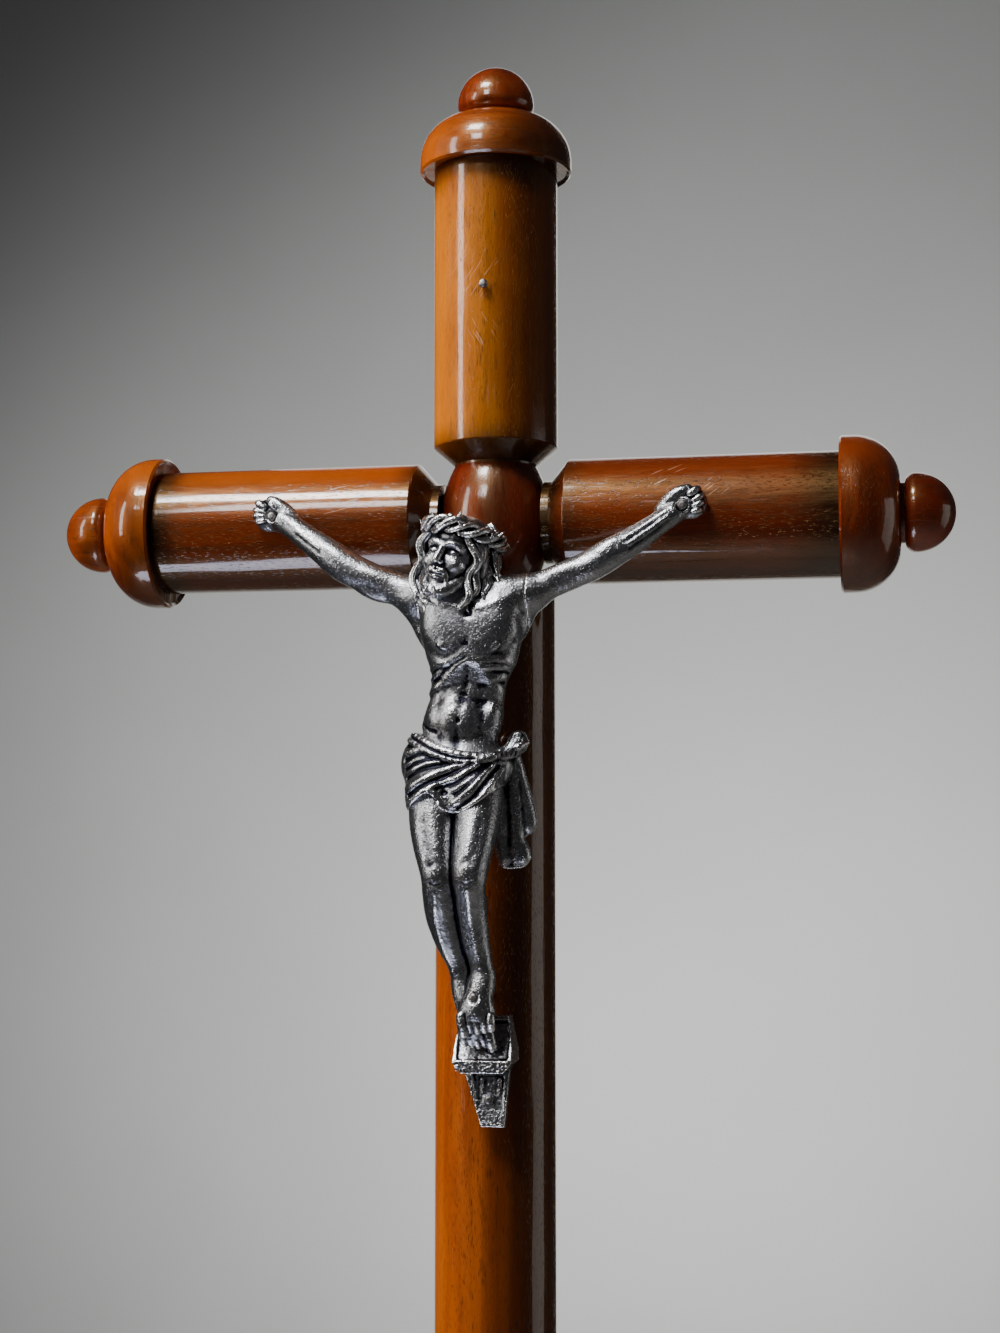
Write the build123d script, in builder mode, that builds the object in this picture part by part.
"""Processional cross: a turned wooden cross head with a cast metal corpus, on a two-part staff.

Millimetres, +Z up the staff. The origin is the centre of the foot's flat bottom.
The figure faces -Y and the arms lie along X. "Left" is -X and "right" is +X.
"""
from build123d import *
from math import hypot
import os

os.makedirs("parts", exist_ok=True)

# ---- Driving dimensions -------------------------------------------------------------------
KNOP_Z = 1520.0          # height of the knop's centre, where the arms cross the staff
JOINT_Z = 960.0          # height of the shoulder where the staff comes apart
LIMB_R = 17.5            # upper limb and arms
STAFF_R = 16.7           # staff below the knop
NECK_R = 11.7            # where the limbs meet the knop
FIT = 0.05               # radial clearance of a glued or running fit
SHOULDER_GAP = 0.3       # between the two ferrules at rest

# Knop and limbs, measured from the knop's centre out along each limb
KNOP_R = 15.6
KNOP_END = 16.0
BEVEL_START = 16.6
BEVEL_END = 21.5
ARM_SEAT = 14.5          # flat on the knop that an arm's end sits on
ARM_RIM = 96.0           # open rim of an arm's cap
TOP_RIM = 100.8          # open rim of the top cap
DOWEL_R = 6.0
ARM_DOWEL_R = 5.0
DOWEL_DEPTH = 30.0
DOWEL_GAP = 0.3          # an arm's dowel stops this short of the upright one
DOWEL_CHAMFER = 1.0

# Caps and ball finials, measured from the cap's rim
CAP_R = 21.6
CAP_LIP = 0.6            # the rim is this much narrower than the cap
CAP_BAND = 3.5           # straight part of the cap
CAP_ROUND = 12.8         # radius of its shoulder
CAP_RECESS = 3.0         # how far the limb goes into the cap
CAP_FACE = 0.8           # depth of the hollow ring inside the rim
CAP_FACE_R = 20.2
COLLAR_R = 8.4
COLLAR_H = 0.9
BALL_R = 10.9
BALL_TUCK = 2.9          # radius of the ball's underside
TENON_R = 4.0
TENON_DEPTH = 22.0

# Staff joint: spigot, ferrules, clamping screw
SPIGOT_R = 11.0
SPIGOT_LENGTH = 70.0
STUB_R = 5.0
STUB_LENGTH = 24.0
FERRULE_R = 18.2
FERRULE_BORE_R = 15.2
FERRULE_BEAD_R = 19.4
FERRULE_BEAD_H = 5.0
FERRULE_HEAD_H = 48.0    # upper ferrule
FERRULE_PLATE = 4.0      # closed end of the upper ferrule
SOCKET_H = 120.0         # socket ferrule, shoulder to lower rim
SOCKET_WEB = 8.0         # solid brass between spigot and wood
SOCKET_FLOOR = 73.0      # depth of the socket
RIVET_R = 1.5
RIVET_EDGE = 0.5         # rounding of a rivet's ends
RIVET_FLUSH = 0.1        # a rivet's ends stay this far inside the ferrule's surface
RIVET_INSET = 9.0        # rivet to the open end of the upper ferrule
SOCKET_RIVET_INSET = 14.0
FOOT_RIVET_INSET = 16.0
SCREW_DROP = 34.0        # clamping screw's axis below the shoulder
SCREW_R = 3.0
SCREW_TIP_GAP = 0.35
BOSS_R = 6.5
BOSS_REACH = 24.5
SCREW_HEAD_R = 9.0
SCREW_HEAD_H = 7.0
SCREW_FLUTES = 18
FLUTE_R = 1.0
SCREW_CROWN = (6.5, 1.2) # radius and height of the raised middle of the head
SCREW_NECK = 1.5         # bare thread between boss and head
BOSS_ROOT = 2.0          # the boss starts this deep in the ferrule's wall

# Foot
FOOT_R = 17.4
FOOT_FERRULE_TOP = 90.0
FOOT_TIP_H = 14.0
FOOT_FLAT_R = 10.0

# Nails
NAIL_HEAD_R = 1.25
NAIL_HEAD_H = 1.1
NAIL_SHANK_R = 0.7
NAIL_HOLE_R = NAIL_SHANK_R + FIT / 2
NAIL_DEPTH = 9.0
TITULUS_NAIL_UP = 64.2   # above the knop's centre

KNOP = Vector(0, 0, KNOP_Z)
UP, LEFT, RIGHT = (0, 0, 1), (-1, 0, 0), (1, 0, 0)


def save(builder, node):
    """Name a finished piece and write its STEP file."""
    builder.part.label = node
    export_step(builder.part, f"parts/{node}.step")


def limb_plane(along, radial):
    """Sketch plane through the knop: local X is the radius, local Y runs out along the limb."""
    return Plane(origin=KNOP, x_dir=radial, z_dir=Vector(*radial).cross(Vector(*along)))


def at_knop(x, y, z):
    """A point given from the knop's centre."""
    return Vector(x, y, z + KNOP_Z)


# ---- Knop ---------------------------------------------------------------------------------
with BuildPart() as centre_knop:
    with BuildSketch(limb_plane(UP, RIGHT)):
        with BuildLine():
            Line((0, -KNOP_END), (NECK_R, -KNOP_END))
            ThreePointArc((NECK_R, -KNOP_END), (KNOP_R, 0), (NECK_R, KNOP_END))
            Line((NECK_R, KNOP_END), (0, KNOP_END))
            Line((0, KNOP_END), (0, -KNOP_END))
        make_face()
    revolve(axis=Axis(KNOP, UP))
    with Locations(Plane(origin=KNOP)):
        Cylinder(DOWEL_R + FIT, 3 * KNOP_END, mode=Mode.SUBTRACT)
    for side in (LEFT, RIGHT):
        with Locations(Plane(origin=KNOP, z_dir=side)):
            Cylinder(ARM_DOWEL_R + FIT, KNOP_R + 1, mode=Mode.SUBTRACT,
                     align=(Align.CENTER, Align.CENTER, Align.MIN))
            with Locations((0, 0, ARM_SEAT)):
                Cylinder(NECK_R + FIT, 5, mode=Mode.SUBTRACT,
                         align=(Align.CENTER, Align.CENTER, Align.MIN))
save(centre_knop, "centre_knop")

# ---- Limbs, each with its cap and ball finial -----------------------------------------------
LIMBS = {
    "upper": (UP, RIGHT, KNOP_END, TOP_RIM, DOWEL_R),
    "left": (LEFT, UP, ARM_SEAT, ARM_RIM, ARM_DOWEL_R),
    "right": (RIGHT, UP, ARM_SEAT, ARM_RIM, ARM_DOWEL_R),
}
HAND_NAILS = {
    "left": at_knop(-58.9, -LIMB_R, 0.6),
    "right": at_knop(54.7, -LIMB_R, 0.3),
}
TITULUS_NAIL = at_knop(0, -LIMB_R, TITULUS_NAIL_UP)

for side, (along, radial, start, rim, dowel_r) in LIMBS.items():
    plane = limb_plane(along, radial)
    axis = Axis(KNOP, along)
    end = rim + CAP_RECESS
    cap_top = rim + CAP_BAND + CAP_ROUND
    collar_top = cap_top + COLLAR_H
    ball_centre = collar_top + BALL_TUCK
    nail = HAND_NAILS.get(side, TITULUS_NAIL)

    with BuildPart() as limb:
        with BuildSketch(plane):
            with BuildLine():
                Polyline(
                    (dowel_r + FIT, start), (NECK_R, start), (NECK_R, BEVEL_START), (LIMB_R, BEVEL_END),
                    (LIMB_R, end), (TENON_R + FIT, end), (TENON_R + FIT, end - TENON_DEPTH - 1),
                    (0, end - TENON_DEPTH - 1), (0, start + DOWEL_DEPTH + 1),
                    (dowel_r + FIT, start + DOWEL_DEPTH + 1), close=True)
            make_face()
        revolve(axis=axis)
        with Locations(Plane(origin=nail, z_dir=(0, 1, 0))):
            Cylinder(NAIL_HOLE_R, NAIL_DEPTH + 1, mode=Mode.SUBTRACT,
                     align=(Align.CENTER, Align.CENTER, Align.MIN))
        rims = limb.edges().filter_by(GeomType.CIRCLE)
        fillet([edge for edge in rims if abs(edge.radius - LIMB_R) < 0.01], radius=0.6)
    save(limb, "upper_limb" if side == "upper" else f"{side}_arm")

    with BuildPart() as cap:
        with BuildSketch(plane):
            with BuildLine():
                Polyline(
                    (TENON_R + FIT, cap_top), (TENON_R + FIT, end), (LIMB_R + FIT, end),
                    (LIMB_R + FIT, rim + CAP_FACE), (CAP_FACE_R, rim + CAP_FACE),
                    (CAP_R - CAP_LIP, rim), (CAP_R, rim + CAP_LIP), (CAP_R, rim + CAP_BAND))
                RadiusArc((CAP_R, rim + CAP_BAND), (CAP_R - CAP_ROUND, cap_top), -CAP_ROUND)
                Line((CAP_R - CAP_ROUND, cap_top), (TENON_R + FIT, cap_top))
            make_face()
        revolve(axis=axis)
    save(cap, f"{side}_cap")

    with BuildPart() as finial:
        with BuildSketch(plane):
            with BuildLine():
                Polyline(
                    (0, end - TENON_DEPTH), (TENON_R, end - TENON_DEPTH), (TENON_R, cap_top),
                    (COLLAR_R, cap_top), (COLLAR_R, collar_top), (BALL_R - BALL_TUCK, collar_top))
                RadiusArc((BALL_R - BALL_TUCK, collar_top), (BALL_R, ball_centre), -BALL_TUCK)
                RadiusArc((BALL_R, ball_centre), (0, ball_centre + BALL_R), -BALL_R)
                Line((0, ball_centre + BALL_R), (0, end - TENON_DEPTH))
            make_face()
        revolve(axis=axis)
    save(finial, f"{side}_finial")

# ---- Dowels that hold the head together -------------------------------------------------------
with BuildPart() as staff_dowel:
    with Locations(Plane(origin=KNOP)):
        Cylinder(DOWEL_R, 2 * (KNOP_END + DOWEL_DEPTH))
    chamfer(staff_dowel.edges(), length=DOWEL_CHAMFER)
save(staff_dowel, "staff_dowel")

for side in ("left", "right"):
    with BuildPart() as arm_dowel:
        with Locations(Plane(origin=KNOP, z_dir=LIMBS[side][0]).offset(DOWEL_R + DOWEL_GAP)):
            Cylinder(ARM_DOWEL_R, ARM_SEAT + DOWEL_DEPTH - DOWEL_R - DOWEL_GAP,
                     align=(Align.CENTER, Align.CENTER, Align.MIN))
        chamfer(arm_dowel.edges(), length=DOWEL_CHAMFER)
    save(arm_dowel, f"{side}_dowel")

# ---- Staff: upper part, joint, lower part -----------------------------------------------------
STAFF_TOP = KNOP_Z - KNOP_END
WOOD_END = JOINT_Z + FERRULE_PLATE
HEAD_FERRULE_TOP = JOINT_Z + FERRULE_HEAD_H
SOCKET_TOP = JOINT_Z - SHOULDER_GAP
SOCKET_BOTTOM = JOINT_Z - SOCKET_H
LOWER_WOOD_TOP = JOINT_Z - SOCKET_FLOOR - SOCKET_WEB
HEAD_RIVET_Z = HEAD_FERRULE_TOP - RIVET_INSET
SOCKET_RIVET_Z = SOCKET_BOTTOM + SOCKET_RIVET_INSET
FOOT_RIVET_Z = FOOT_FERRULE_TOP - FOOT_RIVET_INSET
FEET_NAIL = at_knop(0.2, -16.4, -129.9)
BRACKET_NAIL = at_knop(2.2, -16.4, -157.5)

with BuildPart() as upper_staff:
    with BuildSketch(Plane.XZ):
        with BuildLine():
            Polyline(
                (DOWEL_R + FIT, STAFF_TOP), (NECK_R, STAFF_TOP), (NECK_R, KNOP_Z - BEVEL_START),
                (STAFF_R, KNOP_Z - BEVEL_END),
                (STAFF_R, HEAD_FERRULE_TOP), (FERRULE_BORE_R - FIT, HEAD_FERRULE_TOP),
                (FERRULE_BORE_R - FIT, WOOD_END), (STUB_R + FIT, WOOD_END),
                (STUB_R + FIT, JOINT_Z + STUB_LENGTH + 1), (0, JOINT_Z + STUB_LENGTH + 1),
                (0, STAFF_TOP - DOWEL_DEPTH - 1), (DOWEL_R + FIT, STAFF_TOP - DOWEL_DEPTH - 1),
                close=True)
        make_face()
    revolve(axis=Axis.Z)
    with Locations(Plane(origin=(0, 0, HEAD_RIVET_Z), z_dir=(0, 1, 0))):
        Cylinder(RIVET_R + FIT / 2, 3 * STAFF_R, mode=Mode.SUBTRACT)
    for nail in (FEET_NAIL, BRACKET_NAIL):
        with Locations(Plane(origin=nail, z_dir=(0, 1, 0)).offset(-2)):
            Cylinder(NAIL_HOLE_R, NAIL_DEPTH + 3, mode=Mode.SUBTRACT,
                     align=(Align.CENTER, Align.CENTER, Align.MIN))
save(upper_staff, "upper_staff")

with BuildPart() as head_ferrule:
    with BuildSketch(Plane.XZ):
        with BuildLine():
            Polyline(
                (STUB_R + FIT, JOINT_Z), (FERRULE_R, JOINT_Z),
                (FERRULE_R, HEAD_FERRULE_TOP - FERRULE_BEAD_H))
            ThreePointArc(
                (FERRULE_R, HEAD_FERRULE_TOP - FERRULE_BEAD_H),
                (FERRULE_BEAD_R, HEAD_FERRULE_TOP - FERRULE_BEAD_H / 2),
                (FERRULE_R, HEAD_FERRULE_TOP))
            Polyline(
                (FERRULE_R, HEAD_FERRULE_TOP), (FERRULE_BORE_R, HEAD_FERRULE_TOP),
                (FERRULE_BORE_R, WOOD_END), (STUB_R + FIT, WOOD_END), (STUB_R + FIT, JOINT_Z))
        make_face()
    revolve(axis=Axis.Z)
    with Locations(Plane(origin=(0, 0, HEAD_RIVET_Z), z_dir=(0, 1, 0))):
        Cylinder(RIVET_R + FIT / 2, 3 * FERRULE_R, mode=Mode.SUBTRACT)
    bottom = head_ferrule.edges().filter_by(GeomType.CIRCLE).group_by(Axis.Z)[0]
    chamfer(bottom.sort_by(SortBy.RADIUS)[-1], length=0.8)
save(head_ferrule, "head_ferrule")

with BuildPart() as spigot:
    with Locations((0, 0, JOINT_Z)):
        Cylinder(SPIGOT_R, SPIGOT_LENGTH, align=(Align.CENTER, Align.CENTER, Align.MAX))
    chamfer(spigot.edges().group_by(Axis.Z)[0], length=1.5)
    with Locations((0, 0, JOINT_Z)):
        Cylinder(STUB_R, STUB_LENGTH, align=(Align.CENTER, Align.CENTER, Align.MIN))
save(spigot, "spigot")

with BuildPart() as lower_staff:
    with BuildSketch(Plane.XZ):
        with BuildLine():
            Polyline(
                (STUB_R + FIT, FOOT_TIP_H), (FERRULE_BORE_R - FIT, FOOT_TIP_H),
                (FERRULE_BORE_R - FIT, FOOT_FERRULE_TOP), (STAFF_R, FOOT_FERRULE_TOP),
                (STAFF_R, SOCKET_BOTTOM), (FERRULE_BORE_R - FIT, SOCKET_BOTTOM),
                (FERRULE_BORE_R - FIT, LOWER_WOOD_TOP), (0, LOWER_WOOD_TOP),
                (0, FOOT_TIP_H + STUB_LENGTH + 1), (STUB_R + FIT, FOOT_TIP_H + STUB_LENGTH + 1),
                close=True)
        make_face()
    revolve(axis=Axis.Z)
    for height in (SOCKET_RIVET_Z, FOOT_RIVET_Z):
        with Locations(Plane(origin=(0, 0, height), z_dir=(0, 1, 0))):
            Cylinder(RIVET_R + FIT / 2, 3 * STAFF_R, mode=Mode.SUBTRACT)
save(lower_staff, "lower_staff")

with BuildPart() as socket_ferrule:
    with BuildSketch(Plane.XZ):
        with BuildLine():
            Polyline(
                (SPIGOT_R + FIT, SOCKET_TOP), (SPIGOT_R + FIT, JOINT_Z - SOCKET_FLOOR),
                (0, JOINT_Z - SOCKET_FLOOR), (0, LOWER_WOOD_TOP), (FERRULE_BORE_R, LOWER_WOOD_TOP),
                (FERRULE_BORE_R, SOCKET_BOTTOM), (FERRULE_R, SOCKET_BOTTOM))
            ThreePointArc(
                (FERRULE_R, SOCKET_BOTTOM), (FERRULE_BEAD_R, SOCKET_BOTTOM + FERRULE_BEAD_H / 2),
                (FERRULE_R, SOCKET_BOTTOM + FERRULE_BEAD_H))
            Line((FERRULE_R, SOCKET_BOTTOM + FERRULE_BEAD_H), (FERRULE_R, SOCKET_TOP - FERRULE_BEAD_H))
            ThreePointArc(
                (FERRULE_R, SOCKET_TOP - FERRULE_BEAD_H),
                (FERRULE_BEAD_R, SOCKET_TOP - FERRULE_BEAD_H / 2), (FERRULE_R, SOCKET_TOP))
            Line((FERRULE_R, SOCKET_TOP), (SPIGOT_R + FIT, SOCKET_TOP))
        make_face()
    revolve(axis=Axis.Z)
    with Locations(Plane(origin=(0, 0, JOINT_Z - SCREW_DROP), z_dir=RIGHT)):
        Cylinder(SCREW_R + FIT, 2 * FERRULE_R, mode=Mode.SUBTRACT,
                 align=(Align.CENTER, Align.CENTER, Align.MIN))
    with Locations(Plane(origin=(0, 0, SOCKET_RIVET_Z), z_dir=(0, 1, 0))):
        Cylinder(RIVET_R + FIT / 2, 3 * FERRULE_R, mode=Mode.SUBTRACT)
save(socket_ferrule, "socket_ferrule")

with BuildPart() as screw_boss:
    with Locations(Plane(origin=(FERRULE_R - BOSS_ROOT, 0, JOINT_Z - SCREW_DROP), z_dir=RIGHT)):
        Cylinder(BOSS_R, BOSS_REACH - FERRULE_R + BOSS_ROOT, align=(Align.CENTER, Align.CENTER, Align.MIN))
    chamfer(screw_boss.edges().group_by(Axis.X)[-1], length=1)
    with Locations(Plane(origin=(0, 0, JOINT_Z - SCREW_DROP), z_dir=RIGHT)):
        Cylinder(SCREW_R + FIT, 2 * BOSS_REACH, mode=Mode.SUBTRACT)
    with Locations((0, 0, JOINT_Z - SCREW_DROP)):
        Cylinder(FERRULE_R + 0.02, 4 * BOSS_R, mode=Mode.SUBTRACT)
save(screw_boss, "screw_boss")

with BuildPart() as thumbscrew:
    screw_tip = SPIGOT_R + FIT + SCREW_TIP_GAP
    head_start = BOSS_REACH + SCREW_NECK
    with Locations(Plane(origin=(screw_tip, 0, JOINT_Z - SCREW_DROP), z_dir=RIGHT)):
        Cylinder(SCREW_R, head_start - screw_tip, align=(Align.CENTER, Align.CENTER, Align.MIN))
    chamfer(thumbscrew.edges().group_by(Axis.X)[0], length=0.5)
    with Locations(Plane(origin=(head_start, 0, JOINT_Z - SCREW_DROP), z_dir=RIGHT)):
        Cylinder(SCREW_HEAD_R, SCREW_HEAD_H, align=(Align.CENTER, Align.CENTER, Align.MIN))
        with PolarLocations(SCREW_HEAD_R + 0.4 * FLUTE_R, SCREW_FLUTES):
            Cylinder(FLUTE_R, SCREW_HEAD_H, mode=Mode.SUBTRACT,
                     align=(Align.CENTER, Align.CENTER, Align.MIN))
        with Locations((0, 0, SCREW_HEAD_H)):
            Cylinder(*SCREW_CROWN, align=(Align.CENTER, Align.CENTER, Align.MIN))
save(thumbscrew, "thumbscrew")

# ---- Foot -------------------------------------------------------------------------------------
with BuildPart() as foot_ferrule:
    with BuildSketch(Plane.XY.offset(FOOT_TIP_H)):
        Circle(FOOT_R)
        Circle(FERRULE_BORE_R, mode=Mode.SUBTRACT)
    extrude(amount=FOOT_FERRULE_TOP - FOOT_TIP_H)
    chamfer(foot_ferrule.edges().group_by(Axis.Z)[-1].sort_by(SortBy.RADIUS)[-1], length=0.5)
    with Locations(Plane(origin=(0, 0, FOOT_RIVET_Z), z_dir=(0, 1, 0))):
        Cylinder(RIVET_R + FIT / 2, 3 * FOOT_R, mode=Mode.SUBTRACT)
save(foot_ferrule, "foot_ferrule")

with BuildPart() as foot_tip:
    with BuildSketch(Plane.XZ):
        with BuildLine():
            Line((0, 0), (FOOT_FLAT_R, 0))
            ThreePointArc((FOOT_FLAT_R, 0), (15.4, 4.6), (FOOT_R, FOOT_TIP_H - 2))
            Polyline(
                (FOOT_R, FOOT_TIP_H - 2), (FOOT_R, FOOT_TIP_H), (STUB_R, FOOT_TIP_H),
                (STUB_R, FOOT_TIP_H + STUB_LENGTH), (0, FOOT_TIP_H + STUB_LENGTH), (0, 0))
        make_face()
    revolve(axis=Axis.Z)
save(foot_tip, "foot_tip")

# Rivets through the ferrules, finished just below the surface
RIVETS = {
    "head_ferrule_rivet": (HEAD_RIVET_Z, FERRULE_R),
    "socket_ferrule_rivet": (SOCKET_RIVET_Z, FERRULE_R),
    "foot_ferrule_rivet": (FOOT_RIVET_Z, FOOT_R),
}
for node, (height, ferrule_r) in RIVETS.items():
    with BuildPart() as rivet:
        with Locations(Plane(origin=(0, 0, height), z_dir=(0, 1, 0))):
            Cylinder(RIVET_R, 2 * (ferrule_r - RIVET_FLUSH))
        fillet(rivet.edges(), radius=RIVET_EDGE)
    save(rivet, node)


# ---- Corpus: three castings and a foot bracket ------------------------------------------------
def ball(x, y, z, radius):
    """A round joint of the figure, placed from the knop's centre."""
    with Locations(at_knop(x, y, z)):
        Sphere(radius)


def taper(start, end):
    """A tapered round limb between two stations (x, y, z, radius) given from the knop's centre."""
    first, last = at_knop(*start[:3]), at_knop(*end[:3])
    with BuildSketch(Plane(origin=first, z_dir=last - first)) as near:
        Circle(start[3])
    with BuildSketch(Plane(origin=last, z_dir=last - first)) as far:
        Circle(end[3])
    loft([near.sketch, far.sketch])


def limb_chain(stations):
    """A limb of the figure: tapers with a ball at each station."""
    for start, end in zip(stations, stations[1:]):
        taper(start, end)
    for station in stations:
        ball(*station)


# Torso and loincloth sections: centre x, centre y, z, half width, half depth
TORSO = [
    (-1.3, -23.5, -20.5, 9.0, 4.5),
    (-1.2, -24.5, -26.0, 14.0, 6.6),
    (-1.2, -26.0, -38.0, 13.2, 8.2),
    (-3.2, -25.2, -51.0, 10.8, 6.8),
    (-5.2, -25.6, -62.0, 13.6, 7.8),
    (-5.9, -26.6, -70.0, 15.2, 8.6),
    (-5.2, -28.0, -81.0, 12.6, 8.4),
]
HEAD = (-6.0, -27.4, -13.4)
HEAD_SIZE = (10.8, 10.0, 12.6)
NECK = [(-3.0, -25.5, -26.0, 5.6), (-5.0, -27.0, -18.0, 5.4)]
LEFT_LEG = [
    (-11.0, -28.6, -78.0, 6.6), (-10.1, -34.2, -91.0, 5.2), (-8.9, -36.4, -98.5, 3.9),
    (-9.1, -31.6, -108.5, 3.9), (-5.9, -27.8, -122.0, 2.6), (-4.2, -27.0, -127.5, 2.4),
    (-1.2, -26.4, -136.5, 2.5),
]
RIGHT_LEG = [
    (-0.4, -29.0, -78.0, 6.6), (-2.0, -36.0, -91.0, 4.8), (-2.5, -37.8, -98.0, 3.8),
    (-0.3, -33.4, -108.0, 3.7), (1.6, -30.0, -120.0, 2.6), (2.2, -29.4, -124.6, 2.4),
    (0.5, -30.0, -133.5, 2.5),
]
DRAPE = [
    (11.0, -24.8, -63.0, 3.6), (10.0, -22.6, -75.0, 3.8), (11.0, -21.8, -85.0, 4.4),
    (9.4, -21.2, -93.0, 3.4),
]
LEFT_ARM = [
    (-16.5, -24.2, -24.3, 4.7), (-27.0, -24.2, -19.0, 4.0), (-36.3, -24.0, -14.6, 4.3),
    (-48.3, -22.4, -6.2, 3.4), (-54.6, -21.4, -2.2, 2.9),
]
RIGHT_ARM = [
    (14.2, -24.2, -23.6, 4.6), (22.0, -24.2, -19.0, 3.9), (34.6, -24.0, -14.0, 4.2),
    (42.0, -22.8, -8.8, 3.5), (50.5, -21.6, -2.8, 2.9),
]
ARM_CUT = 16.0           # the arms are cast apart and soldered on at this distance from the middle
HAND_THICKNESS = 2.6
HAND_HALF = 4.2
BEHIND_FIGURE = 0.2      # clearance of the castings from the wood
NAIL_HOLE_LENGTH = 60.0  # long enough to pass through any casting

# Foot bracket: the rest the feet stand on, and the plate below it that is nailed to the staff
REST_TOP, REST_BOTTOM = -135.5, -150.0
REST_LEFT, REST_WIDTH = -6.5, 15.6
REST_LIP = 4.0           # straight front edge
PLATE_END = -164.5
PLATE_TOP_SIZE = (10.8, 4.8)
PLATE_END_SIZE = (6.8, 2.4)

with BuildPart() as corpus_body:
    for x, y, z, half_width, half_depth in TORSO:
        with BuildSketch(Plane(origin=at_knop(x, y, z))):
            Ellipse(half_width, half_depth)
    loft()
    with BuildSketch(Plane(origin=at_knop(*HEAD), x_dir=(1, 0, 0), z_dir=(0, -1, 0))):
        Ellipse(HEAD_SIZE[0], HEAD_SIZE[2])
        with Locations((HEAD_SIZE[0], 0)):
            Rectangle(2 * HEAD_SIZE[0], 3 * HEAD_SIZE[2], mode=Mode.SUBTRACT)
    revolve(axis=Axis(at_knop(*HEAD), (0, 0, 1)))
    limb_chain(NECK)
    limb_chain(LEFT_LEG)
    limb_chain(RIGHT_LEG)
    limb_chain(DRAPE)
    with Locations(Plane(origin=at_knop(0, 0, -70.0))):
        Cylinder(LIMB_R + BEHIND_FIGURE, 200, mode=Mode.SUBTRACT)
    with Locations(Plane(origin=FEET_NAIL, z_dir=(0, 1, 0))):
        Cylinder(NAIL_HOLE_R, NAIL_HOLE_LENGTH, mode=Mode.SUBTRACT)
save(corpus_body, "corpus_body")

for side, chain, sign in (("left", LEFT_ARM, -1), ("right", RIGHT_ARM, 1)):
    nail = HAND_NAILS[side]
    hand_x, hand_z = nail.X, nail.Z - KNOP_Z
    palm_y = -LIMB_R - BEHIND_FIGURE - HAND_THICKNESS / 2
    with BuildPart() as corpus_arm:
        limb_chain(chain)
        taper(chain[-1], (hand_x - sign * 2.0, palm_y - 0.4, hand_z - 0.6, 2.2))
        with Locations(Plane(origin=at_knop(hand_x, palm_y, hand_z), z_dir=(0, 1, 0))):
            Cylinder(HAND_HALF, HAND_THICKNESS)
        with Locations(at_knop(0, 0, 0)):
            Box(2 * ARM_CUT + 0.1, 200, 200, mode=Mode.SUBTRACT)
        with Locations(Plane(origin=KNOP, z_dir=(1, 0, 0))):
            Cylinder(LIMB_R + 0.1, 300, mode=Mode.SUBTRACT)
        with Locations(Plane(origin=nail, z_dir=(0, 1, 0))):
            Cylinder(NAIL_HOLE_R, NAIL_HOLE_LENGTH, mode=Mode.SUBTRACT)
    save(corpus_arm, f"corpus_{side}_arm")

with BuildPart() as foot_bracket:
    with BuildSketch(Plane.YZ.offset(REST_LEFT)):
        with BuildLine():
            Polyline(
                (-16.9, REST_TOP + KNOP_Z), (-20.0, REST_TOP + KNOP_Z),
                (-27.5, REST_BOTTOM + REST_LIP + KNOP_Z), (-27.5, REST_BOTTOM + KNOP_Z),
                (-16.9, REST_BOTTOM + KNOP_Z), close=True)
        make_face()
    extrude(amount=REST_WIDTH)
    with BuildSketch(Plane(origin=at_knop(2.4, -19.4, REST_BOTTOM))):
        Rectangle(*PLATE_TOP_SIZE)
    with BuildSketch(Plane(origin=at_knop(3.0, -18.2, PLATE_END))):
        Rectangle(*PLATE_END_SIZE)
    loft()
    with Locations(Plane(origin=(0, 0, REST_BOTTOM + KNOP_Z))):
        Cylinder(STAFF_R + 0.1, 100, mode=Mode.SUBTRACT)
    with Locations(Plane(origin=FEET_NAIL, z_dir=(0, 1, 0))):
        Cylinder(NAIL_HOLE_R, NAIL_HOLE_LENGTH, mode=Mode.SUBTRACT)
    with Locations(Plane(origin=BRACKET_NAIL, z_dir=(0, 1, 0))):
        Cylinder(NAIL_HOLE_R, NAIL_HOLE_LENGTH, mode=Mode.SUBTRACT)
save(foot_bracket, "foot_bracket")

# ---- Nails: point of the shank in the wood, domed head in front -------------------------------
NAILS = {
    "left_hand_nail": (HAND_NAILS["left"], 4.4),
    "right_hand_nail": (HAND_NAILS["right"], 4.4),
    "titulus_nail": (TITULUS_NAIL, 1.4),
    "feet_nail": (FEET_NAIL, 16.1),
    "bracket_nail": (BRACKET_NAIL, 4.6),
}
for node, (entry, proud) in NAILS.items():
    with BuildPart() as nail_part:
        with Locations(Plane(origin=entry, z_dir=(0, -1, 0))):
            with Locations((0, 0, -NAIL_DEPTH)):
                Cylinder(NAIL_SHANK_R, NAIL_DEPTH + proud,
                         align=(Align.CENTER, Align.CENTER, Align.MIN))
            with Locations((0, 0, proud)):
                Cylinder(NAIL_HEAD_R, NAIL_HEAD_H, align=(Align.CENTER, Align.CENTER, Align.MIN))
        fillet(nail_part.edges().group_by(Axis.Y)[0], radius=NAIL_HEAD_H - 0.3)
    save(nail_part, node)
